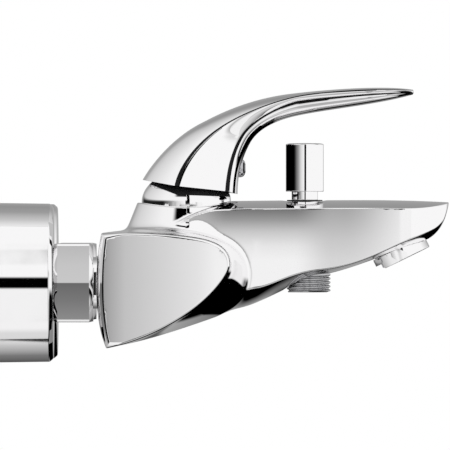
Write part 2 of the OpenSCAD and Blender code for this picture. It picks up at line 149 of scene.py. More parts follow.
CHROME = chrome()
BRASS = metal("brass", (0.70, 0.50, 0.22), (0.82, 0.62, 0.30), 0.20, 0.34)
STEEL = metal("steel", (0.52, 0.52, 0.53), (0.64, 0.64, 0.65), 0.16, 0.30)
RUBBER = plastic("rubber", (0.012, 0.012, 0.013), (0.03, 0.03, 0.03), 0.55, 0.8)
CERAMIC = plastic("ceramic", (0.78, 0.77, 0.74), (0.86, 0.85, 0.82), 0.12, 0.22)
IVORY = plastic("cartridge_plastic", (0.70, 0.68, 0.60), (0.78, 0.76, 0.69), 0.32, 0.45)
WHITE = plastic("valve_plastic", (0.72, 0.72, 0.70), (0.80, 0.80, 0.79), 0.30, 0.42)
GREY = plastic("aerator_plastic", (0.55, 0.55, 0.56), (0.63, 0.63, 0.64), 0.35, 0.5)
# A black copy of chrome: painted shade in the gap under the hood, in the lever's creases and inside the hood
CHROME_PAINTED_SHADE = metal("raw_casting", (0.02, 0.02, 0.021), (0.035, 0.035, 0.036), 0.55, 0.7, 700, "chrome")
# A darker copy of chrome for the outlet thread: painted shade under the spout, with turning marks
THREAD_PAINTED_SHADE = metal("turned_thread", (0.42, 0.42, 0.43), (0.55, 0.55, 0.56), 0.12, 0.22, 500, "chrome")
DOT = metal("indicator", (0.50, 0.50, 0.52), (0.58, 0.58, 0.60), 0.05, 0.09)

# ---- mesh helpers


def new_object(name, data):
    """An object that is in the scene."""
    made = bpy.data.objects.new(name, data)
    bpy.context.scene.collection.objects.link(made)
    return made


def add_piece(name, mesh, body, nodes, material):
    """A piece from a finished mesh in row metres, which rides a body and stands for CAD nodes."""
    mesh.materials.append(material)
    piece = new_object(name, mesh)
    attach(piece, body)
    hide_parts(*nodes)
    return piece


def place(name, points, faces, normals, body, nodes, material):
    """A piece from points in mixer millimetres. normals are one a point, or None for sharp edges by angle."""
    mesh = bpy.data.meshes.new(name)
    co = np.asarray(points, float) * MM
    co[:, 2] += INLET_RISE * MM
    mesh.from_pydata(co.tolist(), [], [list(f) for f in faces])
    mesh.validate()
    mesh.polygons.foreach_set("use_smooth", np.ones(len(mesh.polygons), bool))
    if normals is None:
        mesh.set_sharp_from_angle(angle=math.radians(32))
    else:
        mesh.normals_split_custom_set_from_vertices([tuple(n) for n in normals])
    return add_piece(name, mesh, body, nodes, material)


def rounded(profile, steps=5):
    """Points and normals of a closed outline given as (radius, height, fillet) corners, each fillet an arc.
    The outline runs anticlockwise with radius to the right and height up, so its normals point outwards."""
    points, normals = [], []
    corners = [np.array(c[:2], float) for c in profile]
    for i, (_, _, fillet) in enumerate(profile):
        here = corners[i]
        into = here - corners[i - 1]
        out = corners[(i + 1) % len(corners)] - here
        into_len, out_len = np.linalg.norm(into), np.linalg.norm(out)
        into, out = into / into_len, out / out_len
        turn = math.atan2(into[0] * out[1] - into[1] * out[0], float(into @ out))
        n_in = np.array([into[1], -into[0]])
        n_out = np.array([out[1], -out[0]])
        if fillet <= 0 or abs(turn) < 1e-4:
            points += [here, here]
            normals += [n_in, n_out]
            continue
        cut = min(fillet * math.tan(abs(turn) / 2), 0.49 * into_len, 0.49 * out_len)
        radius = cut / math.tan(abs(turn) / 2)
        side = math.copysign(1, turn)
        centre = here - into * cut - side * n_in * radius
        for k in range(steps + 1):
            angle = turn * k / steps
            c, s = math.cos(angle), math.sin(angle)
            n = np.array([n_in[0] * c - n_in[1] * s, n_in[0] * s + n_in[1] * c])
            points.append(centre + side * n * radius)
            normals.append(n)
    return np.array(points), np.array(normals)


def spin_mesh(points, normals, segments=144):
    """Revolves a closed outline of (radius, height) round the height axis: points and normals."""
    angles = np.arange(segments) * 2 * math.pi / segments
    cos, sin = np.cos(angles), np.sin(angles)
    r, h = points[:, 0], points[:, 1]
    co = np.stack([np.outer(r, cos), np.outer(r, sin), np.repeat(h[:, None], segments, 1)], -1)
    no = np.stack([np.outer(normals[:, 0], cos), np.outer(normals[:, 0], sin),
                   np.repeat(normals[:, 1][:, None], segments, 1)], -1)
    return co, no


def grid_faces(rows, columns, keep):
    """Quads between rows of a tube that closes in both directions. keep says which row gaps have faces."""
    i, j = np.meshgrid(np.arange(rows), np.arange(columns), indexing="ij")
    a = i * columns + j
    b = i * columns + (j + 1) % columns
    c = ((i + 1) % rows) * columns + (j + 1) % columns
    d = ((i + 1) % rows) * columns + j
    return np.stack([a, b, c, d], -1)[keep].reshape(-1, 4)


def weld(points, faces, normals):
    """Joins points at the same place with the same normal, and drops faces with no area."""
    key = np.round(np.hstack([points * 1e4, normals * 1e3])).astype(np.int64)
    _, first, back = np.unique(key, axis=0, return_index=True, return_inverse=True)
    back = back.reshape(-1)
    made = []
    for f in back[faces]:
        loop = [v for k, v in enumerate(f) if v != f[k - 1]]
        if len(set(loop)) > 2:
            made.append(loop)
    return points[first], made, normals[first]


def spin(profile, origin=(0, 0, 0), axis=UP, segments=144, shape=None):
    """A solid of revolution from (radius, height, fillet) corners, with its exact normals.
    The height runs along the axis from origin. shape may change the points before they are placed."""
    outline, outline_n = rounded(profile)
    co, no = spin_mesh(outline, outline_n, segments)
    rows, columns = co.shape[:2]
    if shape:
        co, no = shape(co, no)
    gap = np.linalg.norm(outline - np.roll(outline, -1, 0), axis=1) > 1e-7
    on_axis = (outline[:, 0] < 1e-6) & (np.roll(outline[:, 0], -1) < 1e-6)
    faces = grid_faces(rows, columns, gap & ~on_axis)
    points = co.reshape(-1, 3) @ axis.T + np.array(origin, float)
    normals = no.reshape(-1, 3) @ axis.T
    return weld(points, faces, normals)


# ---- curves


def bezier(s, t):
    """Points of cubic segments. s has shape (..., 4, 2) and t the shape (...)."""
    t = np.asarray(t, float)[..., None]
    u = 1 - t
    return (u**3 * s[..., 0, :] + 3 * u * u * t * s[..., 1, :]
            + 3 * u * t * t * s[..., 2, :] + t**3 * s[..., 3, :])


def bezier_slope(s, t):
    t = np.asarray(t, float)[..., None]
    u = 1 - t
    return 3 * (u * u * (s[..., 1, :] - s[..., 0, :]) + 2 * u * t * (s[..., 2, :] - s[..., 1, :])
                + t * t * (s[..., 3, :] - s[..., 2, :]))


def along(segments, t):
    """Points at t along a chain of cubic segments, one unit of t a segment."""
    i = np.clip(np.floor(t).astype(int), 0, len(segments) - 1)
    return bezier(segments[i], t - i)


def mix(a, b, k):
    return a + (b - a) * k


def chain(*points):
    """Cubic segments that share their ends: an end, then two handles and an end for each segment."""
    return np.array([points[i:i + 4] for i in range(0, len(points) - 1, 3)])


SHOULDER = chain(
    (50.9, -31),
    (44.6, -17), (45.2, 9), (48.6, 23.4),
    (60, 24), (84, 23.4), (97.4, 20.4),
    (105.8, 18.2), (109.2, 14.6), (109.2, 8.4),
    (109.2, 3.6), (101, -6.4), (90.9, -13.6),
    (80, -21.4), (66, -28.2), (50.9, -31))
MIDDLE = chain(
    (51, -31.2),
    (44.6, -17), (45.2, 9), (48.4, 23.6),
    (62, 25.5), (84, 27.5), (99.2, 22),
    (108, 19.5), (116.5, 15), (117.3, 4.8),
    (117.6, -5), (112, -13.3), (101.5, -17),
    (86, -22.5), (66, -29.2), (51, -31.2))
EDGE_LINE = chain(
    (65, -8),
    (90, -8), (110, -6), (121, -2.8),
    (129, -2.4), (137, 4), (151, 5.6),
    (166, 7), (176, 11.4), (190, 18),
    (200, 22.5), (212, 25.5), (214.4, 38))
UNDER_LINE = chain(
    (65, -14),
    (80, -14), (106, -16.5), (121, -10.3),
    (134, -5), (143, 1), (151, 3),
    (163, 4.6), (176, 10.2), (190, 15),
    (203, 19.6), (211.6, 20.5), (214.4, 37.6))
WING_HALF = 94.0
REACH = 214.4
CARTRIDGE_X = 88.5
DIVERTER_X = 145.3
OUTLET_X = 147.2
AERATOR_X, AERATOR_Z = 193.0, 11.0
JET_TILT = math.radians(26)

# ---- body as a distance field


def both(a, b, radius):
    """Where both solids are, with a round edge."""
    return (np.minimum(np.maximum(a, b), -radius)
            + np.sqrt(np.maximum(a + radius, 0) ** 2 + np.maximum(b + radius, 0) ** 2))


def either(a, b, width):
    """Where either solid is, with a soft cove of about that width between them."""
    h = np.maximum(width - np.abs(a - b), 0) / width
    return np.minimum(a, b) - h**3 * width / 6


def soft_step(value, low, high):
    """0 below low, 1 above high, and smooth between them."""
    t = np.clip((value - low) / (high - low), 0, 1)
    return t * t * (3 - 2 * t)


def outline_distance(x, z, k):
    """Signed distance from points to the wing's section, k of the way from the shoulder to the middle one."""
    def section(segment, share):
        return SHOULDER[segment] + share[:, None, None] * (MIDDLE - SHOULDER)[segment]

    result = np.empty(len(x))
    samples = (np.arange(12) + 0.5) / 12
    coarse_a = np.concatenate([bezier(SHOULDER[i], samples) for i in range(5)])
    coarse_b = np.concatenate([bezier(MIDDLE[i], samples) for i in range(5)])
    for start in range(0, len(x), 40000):
        part = slice(start, start + 40000)
        p = np.stack([x[part], z[part]], -1)
        kk = k[part]
        cx = coarse_a[None, :, 0] + kk[:, None] * (coarse_b - coarse_a)[None, :, 0]
        cz = coarse_a[None, :, 1] + kk[:, None] * (coarse_b - coarse_a)[None, :, 1]
        best = np.argmin((cx - p[:, :1]) ** 2 + (cz - p[:, 1:]) ** 2, 1)
        segment, t = best // 12, samples[best % 12]
        control = section(segment, kk)
        for _ in range(5):
            q = bezier(control, t)
            slope = bezier_slope(control, t)
            move = ((p - q) * slope).sum(1) / np.maximum((slope**2).sum(1), 1e-9)
            t = t + move
            over = t > 1
            under = t < 0
            segment = np.where(over, (segment + 1) % 5, np.where(under, (segment + 4) % 5, segment))
            corner = (over & ((segment == 0) | (segment == 1))) | (under & ((segment == 4) | (segment == 0)))
            segment = np.where(corner, np.where(over, (segment + 4) % 5, (segment + 1) % 5), segment)
            t = np.where(corner, np.clip(t, 0, 1), np.where(over, t - 1, np.where(under, t + 1, t)))
            t = np.clip(t, 0, 1)
            control = section(segment, kk)
        q = bezier(control, t)
        slope = bezier_slope(control, t)
        away = p - q
        side = np.sign(-slope[:, 1] * away[:, 0] + slope[:, 0] * away[:, 1])
        outside = (p[:, 0] < 44) | (p[:, 0] > 119) | (p[:, 1] < -33) | (p[:, 1] > 27)
        result[part] = np.where(outside, 1, side) * np.linalg.norm(away, axis=1)
    return result


def wing_field(x, y, z):
    d = np.abs(y)
    k = np.where(d <= 26, 1.0, (np.clip(92 - d, 0, None) / 66) ** 2.2)
    section = outline_distance(x, z, k)
    face = WING_HALF - 0.9 * ((x - 78) / 32) ** 2 - 0.5 * ((z + 2) / 28) ** 2
    return both(section, d - face, mix(4.0, 1.3, soft_step(x, 47, 60)))


TABLE_X = np.linspace(60, REACH, 1200)
CHAIN_T = np.linspace(0, 4, 1600)


def height_table(line):
    """Heights of a line by distance from the wall, as a table that is read with np.interp."""
    pts = along(line, CHAIN_T)
    pts[:, 0] = np.maximum.accumulate(pts[:, 0])
    return np.interp(TABLE_X, pts[:, 0], pts[:, 1])


def smooth_table(values, width):
    """A running mean, so that a table's slope has no kinks."""
    kernel = np.hanning(width)
    padded = np.pad(values, width // 2, mode="edge")
    return np.convolve(padded, kernel / kernel.sum(), mode="valid")[: len(values)]


EDGE_Z = smooth_table(height_table(EDGE_LINE), 31)
UNDER_Z = smooth_table(height_table(UNDER_LINE), 31)
EDGE_SLOPE = np.gradient(EDGE_Z, TABLE_X)
UNDER_SLOPE = np.gradient(UNDER_Z, TABLE_X)


def deck_height(x, y):
    fall = np.where(x < 175, 1.2 * ((x - 175) / 110) ** 2, 1.04 * ((x - 175) / 39.4) ** 2)
    dive = 3.0 * (np.clip(104 - x, 0, None) / 15) ** 2
    dish = 0.45 * soft_step(-np.hypot(x - DIVERTER_X, y), -11, -8.6)
    return 39.3 - fall - dive - dish - 3.9 * (y / 25) ** 2


def spout_field(x, y, z):
    d = np.abs(y)
    half = 24.8 + 3.4 * np.clip((122 - x) / 32, 0, 1) ** 2
    straight = d - half
    ahead = np.clip(x - 190, 0, None) / (REACH - 190)
    tip = ((ahead**2.3 + (d / 24.8) ** 2.3) ** (1 / 2.3) - 1) * 24.6
    back = (np.hypot((x - CARTRIDGE_X) / 20, d / 28.2) - 1) * 28.2
    side = np.where(x > 190, tip, np.where(x < CARTRIDGE_X, back, straight))
    dive_slope = 6 * np.clip(104 - x, 0, None) / 15**2
    deck = (z - deck_height(x, d)) / np.sqrt(1 + (7.8 * d / 625) ** 2 + dive_slope**2)
    low = np.interp(x, TABLE_X, EDGE_Z)
    keel = np.interp(x, TABLE_X, UNDER_Z)
    share = np.clip(d / np.maximum(half, 1), 0, 1.2)
    floor = mix(keel, low, share**2)
    slope = np.interp(x, TABLE_X, UNDER_SLOPE) * (1 - share**2) + np.interp(x, TABLE_X, EDGE_SLOPE) * share**2
    across = 2 * share * (low - keel) / half
    below = (floor - z) / np.sqrt(1 + slope**2 + across**2)
    return both(both(side, below, 0.7), deck, 0.4)


def collar_field(x, y, z):
    around = np.hypot(x - CARTRIDGE_X, y)
    cone = (around - 23.5 - 0.405 * (38.06 - z)) * math.cos(math.atan(0.405))
    top = (z - 38.06 + 2.1 * (y / 23.5) ** 2) / np.sqrt(1 + (4.2 * y / 552) ** 2)
    return both(both(cone, 17 - z, 0.5), top, 0.35)


def cylinder_field(x, y, z, start, end, radius):
    """Distance to a round bore between two points, with flat ends."""
    start, end = np.array(start, float), np.array(end, float)
    axis = (end - start) / np.linalg.norm(end - start)
    px, py, pz = x - start[0], y - start[1], z - start[2]
    h = px * axis[0] + py * axis[1] + pz * axis[2]
    r = np.sqrt(np.maximum(px * px + py * py + pz * pz - h * h, 0))
    return np.maximum(r - radius, np.maximum(-h, h - np.linalg.norm(end - start)))


def jet_point(height):
    """A point on the aerator's axis, at a height measured back from the outlet face along the jet."""
    return (AERATOR_X + height * math.sin(JET_TILT), 0, AERATOR_Z - height * math.cos(JET_TILT))


def upright(x, low, high, radius):
    """An upright bore in the middle plane."""
    return (x, 0, low), (x, 0, high), radius


# Start, end and radius of each bore, on the side that is meshed
BORES = [
    upright(CARTRIDGE_X, 4, 60, 17.6), upright(CARTRIDGE_X, 30.1, 60, 19.5),
    upright(CARTRIDGE_X, 35.6, 60, 21.6),
    ((CARTRIDGE_X - 5.5, -7, -3), (CARTRIDGE_X - 5.5, -7, 5), 3.2),
    ((CARTRIDGE_X + 8.5, 0, -3), (CARTRIDGE_X + 8.5, 0, 5), 3.2),
    ((40, -SIDE_Y, 0), (58, -SIDE_Y, 0), 11), ((50, -SIDE_Y, 0), (64, -SIDE_Y, 0), 8.5),
    ((60, -SIDE_Y, 0), (CARTRIDGE_X - 5.5, -7, -3), 5), ((40, -SIDE_Y, 0), (46.6, -SIDE_Y, 0), 12.3),
    ((CARTRIDGE_X + 8.5, 0, -3), (DIVERTER_X - 4, 0, 14), 4),
    upright(DIVERTER_X, 8, 21.3, 8.2), upright(DIVERTER_X, 0, 60, 5.5), upright(DIVERTER_X, 24, 60, 8.05),
    upright(DIVERTER_X, 36.8, 60, 8.6), upright(OUTLET_X, -30, 4, 11.88), upright(OUTLET_X, -30, 9, 10.02),
    ((DIVERTER_X, 0, 26.2), (187, 0, 26.2), 4.5),
    (jet_point(-6), jet_point(30), 13.75), (jet_point(-14), jet_point(0), 12.5),
    (jet_point(-19), jet_point(0), 8)]


def skin_field(p):
    """The body's outer skin."""
    x, y, z = p[:, 0], p[:, 1], p[:, 2]
    neck = either(spout_field(x, y, z), collar_field(x, y, z), 1.4)
    return either(neck, wing_field(x, y, z), 4.0)


def body_field(p):
    """The body with its bores. The half at negative y is meshed, and mirrored afterwards."""
    solid = skin_field(p)
    x, y, z = p[:, 0], p[:, 1], p[:, 2]
    for start, end, radius in BORES:
        solid = np.maximum(solid, -cylinder_field(x, y, z, start, end, radius))
    return solid


def gradient(field, p, step=0.02):
    out = np.empty_like(p)
    for a in range(3):
        ahead, behind = p.copy(), p.copy()
        ahead[:, a] += step
        behind[:, a] -= step
        out[:, a] = (field(ahead) - field(behind)) / (2 * step)
    return out


def grid_line(stops, cell, step):
    """Grid planes along one axis, from (place, fineness) stops. A cell is cell times the fineness before it."""
    line = []
    for (start, share), (end, _) in zip(stops, stops[1:]):
        count = max(1, round((end - start) / (cell * share)))
        line += [start + (end - start) * i / count for i in range(count)]
    line.append(stops[-1][0])
    while (len(line) - 1) % step:
        line.append(line[-1] + cell)
    return np.array(line)


def net(field, xs, ys, zs, cell):
    """Surface net of a field: one point in each cell that the surface crosses, pulled onto the surface."""
    step = 4
    axes = [grid_line(stops, cell, step) for stops in (xs, ys, zs)]
    counts = np.array([len(axis) for axis in axes])
    coarse = np.stack(np.meshgrid(*[ax[::step] for ax in axes], indexing="ij"), -1)
    rough = field(coarse.reshape(-1, 3)).reshape(coarse.shape[:3])
    values = np.repeat(np.repeat(np.repeat(rough, step, 0), step, 1), step, 2)
    values = values[: counts[0], : counts[1], : counts[2]].copy()
    near = np.abs(values) < 1.9 * step * cell
    index = np.argwhere(near)
    values[near] = field(np.stack([axes[a][index[:, a]] for a in range(3)], -1))
    inside = values < 0
    corners = np.zeros(tuple(counts - 1), int)
    for a in (0, 1):
        for b in (0, 1):
            for c in (0, 1):
                corners += inside[a:counts[0] - 1 + a, b:counts[1] - 1 + b, c:counts[2] - 1 + c]
    active = (corners > 0) & (corners < 8)
    number = np.full(active.shape, -1)
    cells = np.argwhere(active)
    number[active] = np.arange(len(cells))
    total, hits = np.zeros((len(cells), 3)), np.zeros(len(cells))
    faces = []
    for a in range(3):
        b, c = (a + 1) % 3, (a + 2) % 3
        for db in (0, 1):
            for dc in (0, 1):
                p0 = cells.copy()
                p0[:, b] += db
                p0[:, c] += dc
                p1 = p0.copy()
                p1[:, a] += 1
                v0, v1 = values[tuple(p0.T)], values[tuple(p1.T)]
                cross = (v0 < 0) != (v1 < 0)
                t = np.where(cross, v0 / np.where(cross, v0 - v1, 1), 0)
                spot = p0 + t[:, None] * (p1 - p0)
                total[cross] += spot[cross]
                hits[cross] += 1
        edge_low = np.moveaxis(inside, a, 0)[:-1]
        edge_high = np.moveaxis(inside, a, 0)[1:]
        crossing = np.argwhere(np.moveaxis(edge_low != edge_high, 0, a))
        crossing = crossing[(crossing[:, b] > 0) & (crossing[:, c] > 0)
                            & (crossing[:, b] < counts[b] - 1) & (crossing[:, c] < counts[c] - 1)]
        ring = []
        for db, dc in ((-1, -1), (0, -1), (0, 0), (-1, 0)):
            q = crossing.copy()
            q[:, b] += db
            q[:, c] += dc
            ring.append(number[tuple(q.T)])
        ring = np.stack(ring, -1)
        flip = ~inside[tuple(crossing.T)]
        ring[flip] = ring[flip][:, ::-1]
        faces.append(ring[(ring >= 0).all(1)])
    spots = total / hits[:, None]
    points = np.stack([np.interp(spots[:, a], np.arange(counts[a]), axes[a]) for a in range(3)], -1)
    return onto(field, points, 0.9 * cell), np.concatenate(faces)


def unit_gradient(field, p):
    slope = gradient(field, p)
    return slope / np.maximum(np.linalg.norm(slope, axis=1), 1e-6)[:, None]


def onto(field, points, reach):
    """Moves points to a field's surface, by no more than reach along each axis."""
    home = points.copy()
    for _ in range(4):
        slope = gradient(field, points)
        size = np.maximum((slope**2).sum(1), 0.05)
        points = points - slope * (field(points) / size)[:, None]
        points = home + np.clip(points - home, -reach, reach)
    return points


def split_edges(points, faces, reach):
    """Splits the faces of the skin's tight curves in nine, and pulls the new points onto the surface."""
    normals = unit_gradient(skin_field, points)
    on_skin = np.abs(skin_field(points)) < 0.05
    corner = normals[faces]
    turn = np.min([(corner[:, k] * corner[:, (k + 1) % 4]).sum(1) for k in range(4)], 0)
    tight = (turn < math.cos(math.radians(11))) & on_skin[faces].all(1)
    work = bmesh.new()
    verts = [work.verts.new(p) for p in points]
    made = [work.faces.new([verts[i] for i in f]) for f in faces]
    edges = {edge for face, chosen in zip(made, tight) if chosen for edge in face.edges}
    bmesh.ops.subdivide_edges(work, edges=list(edges), cuts=2, use_grid_fill=True)
    work.verts.index_update()
    all_points = np.array([v.co for v in work.verts])
    all_faces = [[v.index for v in face.verts] for face in work.faces]
    work.free()
    fresh = all_points[len(points):]
    moved = onto(body_field, fresh, reach)
    moved[:, 1] = np.where(np.abs(fresh[:, 1]) < 1e-6, 0, moved[:, 1])
    return np.vstack([points, moved]), all_faces


def body_piece():
    """Half the body from its field, mirrored, with normals read a little inside each face's corners."""
    cell = 1.1
    xs = [(43, 1), (216, 1)]
    ys = [(-96, 0.55), (-89.5, 1.25), (-36, 1), (-26.5, 0.4), (-22.5, 1), (2 * cell, 1)]
    zs = [(-34, 0.9), (26, 1), (33.5, 0.4), (39.5, 1), (42, 1)]
    points, faces = net(body_field, xs, ys, zs, cell)
    points[:, 1] = np.where(np.abs(points[:, 1]) < 0.4 * cell, 0, points[:, 1])
    middle = points[faces].mean(1)
    faces = faces[middle[:, 1] < 0]
    used = np.unique(faces)
    lookup = np.full(len(points), -1)
    lookup[used] = np.arange(len(used))
    points, faces = points[used], lookup[faces]
    points[:, 1] = np.minimum(points[:, 1], 0)
    points, faces = split_edges(points, faces, 0.3 * cell)
    sizes = np.array([len(f) for f in faces])
    corners = np.concatenate(faces)
    starts = np.cumsum(sizes) - sizes
    centres = np.add.reduceat(points[corners], starts) / sizes[:, None]
    normals = unit_gradient(body_field, 0.97 * points[corners] + 0.03 * np.repeat(centres, sizes, 0))
    seam = np.abs(points[:, 1]) < 1e-6
    count = len(points)
    twin = np.where(seam, np.arange(count), np.arange(count) + count)
    back = np.concatenate([np.arange(start + size - 1, start - 1, -1) for start, size in zip(starts, sizes)])
    flip = np.array([1, -1, 1])
    all_points = np.vstack([points, points * flip])
    all_faces = faces + [twin[f][::-1].tolist() for f in faces]
    return all_points, all_faces, np.vstack([normals, normals[back] * flip])


def place_loops(name, points, faces, loop_normals, body, nodes, material):
    """A piece whose normals are given for each corner of each face."""
    used, back = np.unique(np.concatenate(faces), return_inverse=True)
    corners = iter(back.tolist())
    mesh = bpy.data.meshes.new(name)
    co = points[used] * MM
    co[:, 2] += INLET_RISE * MM
    mesh.from_pydata(co.tolist(), [], [[next(corners) for _ in f] for f in faces])
    mesh.polygons.foreach_set("use_smooth", np.ones(len(mesh.polygons), bool))
    mesh.normals_split_custom_set(loop_normals.tolist())
    return add_piece(name, mesh, body, nodes, material)


points, faces, normals = body_piece()
place_loops("body_skin", points, faces, normals, "mixer", ["body"], CHROME)

# ---- wall connection

FLANGE_R, FLANGE_END = 37.8, 25.8
NUT_START, NUT_END, NUT_FLATS, NUT_CORNER_R = 25.9, 44.6, 37.4, 21.6

for label, side in (("left", -SIDE_Y), ("right", SIDE_Y)):
    at = (0, side, 0)
    escutcheon = [(36.5, 0, 0.3), (FLANGE_R, 0, 0.3), (37.47, 24.0, 1.2), (35.9, FLANGE_END, 1.6),
                  (13.4, FLANGE_END, 0.4), (13.4, 24.5, 0.2), (35.3, 24.5, 1.0), (36.1, 22.5, 1.0)]
    place(f"escutcheon_skin_{label}", *spin(escutcheon, at, OUT), "mixer", [f"escutcheon_{label}"], CHROME)


def unit(vectors):
    return vectors / np.maximum(np.linalg.norm(vectors, axis=-1)[..., None], 1e-9)


def hexagon(flats, softness):
    """Pulls the points of a round blank in to a hexagon with soft corners, and finds the normals again."""

    def shape(co, no):
        angle = np.arctan2(co[..., 1], co[..., 0])
        sector = (angle + math.pi / 6) % (math.pi / 3) - math.pi / 6
        flat = flats / 2 / np.cos(sector)
        r = np.hypot(co[..., 0], co[..., 1])
        h = np.maximum(softness - np.abs(r - flat), 0) / softness
        cut = np.where(r > 0.8 * flats / 2, np.minimum(r, flat) - h**2 * softness / 4, r)
        made = co.copy()
        made[..., 0] *= cut / np.maximum(r, 1e-9)
        made[..., 1] *= cut / np.maximum(r, 1e-9)
        around = np.roll(made, -1, 1) - np.roll(made, 1, 1)
        step = np.linalg.norm(made - np.roll(made, -1, 0), axis=2)
        ahead = np.where(step[..., None] > 1e-6, np.roll(made, -1, 0) - made, 0)
        before = np.roll(ahead, 1, 0)
        normal = np.cross(around, unit(ahead) + unit(before))
        length = np.linalg.norm(normal, axis=2)[..., None]
        normal = np.where(length > 1e-6, unit(normal), no)
        outer = (cut > 0.8 * flats / 2)[..., None]
        return made, np.where(outer, normal, no)

    return shape


for label, side in (("left", -SIDE_Y), ("right", SIDE_Y)):
    at = (0, side, 0)
    outer = [(NUT_CORNER_R, h, 0.0) for h in np.linspace(NUT_START + 1.8, NUT_END - 1.8, 9)]
    nut = [(13.3, NUT_START, 0.2), (18.4, NUT_START, 0.3), *outer, (18.4, NUT_END, 0.3), (12.4, NUT_END, 0.3),
           (12.4, 40.2, 0), (13.3, 40.2, 0)]
    place(f"union_nut_skin_{label}", *spin(nut, at, OUT, 360, hexagon(NUT_FLATS, 0.9)), "mixer",
          [f"union_nut_{label}"], CHROME)
    tail = [(8.5, 36.4, 0.2), (13.1, 36.4, 0.2), (13.1, 40.1, 0.2), (12.25, 40.2, 0.1), (12.25, 46.6, 0.2),
            (11, 46.6, 0.1), (11, 58, 0.3), (8.5, 58, 0.3)]
    place(f"tailpiece_skin_{label}", *spin(tail, at, OUT), "mixer", [f"inlet_tailpiece_{label}"], CHROME)

# ---- dome, diverter, outlet, aerator

at_cartridge = (CARTRIDGE_X, 0, 0)
DOME_R, DOME_Z, DOME_H, DOME_CUT = 21.45, 38.3, 15.3, 0.78
arc = [i / 24 * DOME_CUT for i in range(25)]
dome_out = [(DOME_R * math.sqrt(1 - h * h), DOME_Z + DOME_H * h, 0.8) for h in arc]
dome_in = [((DOME_R - 1) * math.sqrt(1 - h * h), DOME_Z + (DOME_H - 1) * h, 0.8) for h in reversed(arc)]
dome = [(DOME_R, 35.7, 0.3), *dome_out, *dome_in, (DOME_R - 1, 35.7, 0.3)]
dome_piece = place("dome_skin", *spin(dome, at_cartridge, segments=192), "mixer", ["dome_cover"], CHROME)


def darken_above(piece, corner, slopes, material):
    """Gives a piece a second material above two planes that meet at corner. slopes are heights per x."""
    work = bmesh.new()
    work.from_mesh(piece.data)
    at = Vector((corner[0] * MM, 0, (corner[1] + INLET_RISE) * MM))
    planes = [Vector((-slope, 0, 1)).normalized() for slope in slopes]
    for normal in planes:
        everything = work.verts[:] + work.edges[:] + work.faces[:]
        bmesh.ops.bisect_plane(work, geom=everything, plane_co=at, plane_no=normal)
    for face in work.faces:
        centre = face.calc_center_median()
        face.material_index = int(all((centre - at).dot(normal) > 0 for normal in planes))
    work.to_mesh(piece.data)
    work.free()
    piece.data.materials.append(material)


# Painted shade: the dark gap that shows between the dome and the lever's hood is painted black on the dome
darken_above(dome_piece, (83.9, 41.8), (-0.391, -0.036), CHROME_PAINTED_SHADE)

at_diverter = (DIVERTER_X, 0, 0)
STEM_R, FOOT_Z = 6.3, 36.0
bonnet = [(2.05, 28, 0.2), (8, 28, 0.4), (8, 36.9, 0.1), (8.55, 36.9, 0.1), (8.55, 39.4, 0.3),
          (STEM_R, 39.4, 0.25), (STEM_R, 55.6, 0.5), (3.6, 55.6, 0.2), (3.6, 52, 0.1), (2.05, 52, 0.1)]
stem = place("bonnet_skin", *spin(bonnet, at_diverter), "mixer", ["diverter_bonnet"], CHROME)
# The bonnet's ring above its foot gets the black rubber finish, as painted shade for the dark gap round the
# stem
stem.data.materials.append(RUBBER)
for face in stem.data.polygons:
    radius = math.hypot(face.center[0] - DIVERTER_X * MM, face.center[1])
    if radius > (STEM_R + 0.1) * MM and face.center[2] > (FOOT_Z + INLET_RISE) * MM:
        face.material_index = 1
knob = [(6.6, 43.4, 0.25), (9.1, 43.4, 0.35), (9.1, 66.2, 0.55), (7.4, 66.55, 1.5), (0, 66.7, 0),
        (0, 62, 0), (2, 62, 0), (2, 57.9, 0), (6.6, 57.9, 0.3)]
place("knob_skin", *spin(knob, at_diverter), "diverter", ["diverter_knob"], CHROME)


def screw_thread(low, high, root, crest, pitch, bore):
    """An outside thread as a true helix, with its bore: the thread runs out into a plain collar at the top."""
    segments = 144
    levels = np.linspace(low, high, 110)
    angle = np.arange(segments) * 2 * math.pi / segments
    grid_a, grid_z = np.meshgrid(angle, levels)
    phase = ((grid_z - low) / pitch - grid_a / (2 * math.pi)) % 1
    ridge = np.clip(np.abs(phase - 0.5) * 3.0 - 0.35, 0, 1)
    ridge = ridge * ridge * (3 - 2 * ridge)
    runout = np.clip((grid_z - (high - 1.3)) / 0.8, 0, 1)
    lead = np.clip((grid_z - low) / 0.7, 0, 1)
    r = mix(mix(crest, root, ridge), crest, runout) - 0.75 * (1 - lead)
    outside = np.stack([r * np.cos(grid_a), r * np.sin(grid_a), grid_z], -1)
    ring = np.stack([np.cos(angle), np.sin(angle), np.zeros_like(angle)], -1)
    inside = [(10, high), (10, 9.0), (4.9, 9.0), (4.9, 6.5), (bore, 6.5)]
    rows = np.concatenate([[bore * ring + [0, 0, low]], outside,
                           [radius * ring + [0, 0, level] for radius, level in inside]])
    faces = grid_faces(len(rows), segments, np.ones(len(rows), bool))
    return rows.reshape(-1, 3), faces


thread_points, thread_faces = screw_thread(-4.94, 4.0, 9.55, 10.48, 1.9, 7)
place("nipple_skin", thread_points + [OUTLET_X, 0, 0], thread_faces, None, "mixer", ["outlet_nipple"], THREAD_PAINTED_SHADE)

JET = np.array([[-math.cos(JET_TILT), 0, math.sin(JET_TILT)], [0, 1, 0],
                [-math.sin(JET_TILT), 0, -math.cos(JET_TILT)]])


def cut_box(piece, corner_low, corner_high):
    """Cuts a box from a piece. Its corners are in the aerator's own millimetres."""
    corners = [(x, y, z) for x in (corner_low[0], corner_high[0]) for y in (corner_low[1], corner_high[1])
               for z in (corner_low[2], corner_high[2])]
    co = np.array(corners, float) @ JET.T + np.array([AERATOR_X, 0, AERATOR_Z + INLET_RISE])
    mesh = bpy.data.meshes.new("cutter")
    mesh.from_pydata((co * MM).tolist(), [], [])
    work = bmesh.new()
    work.from_mesh(mesh)
    bmesh.ops.convex_hull(work, input=work.verts)
    work.to_mesh(mesh)
    work.free()
    cut(piece, mesh)


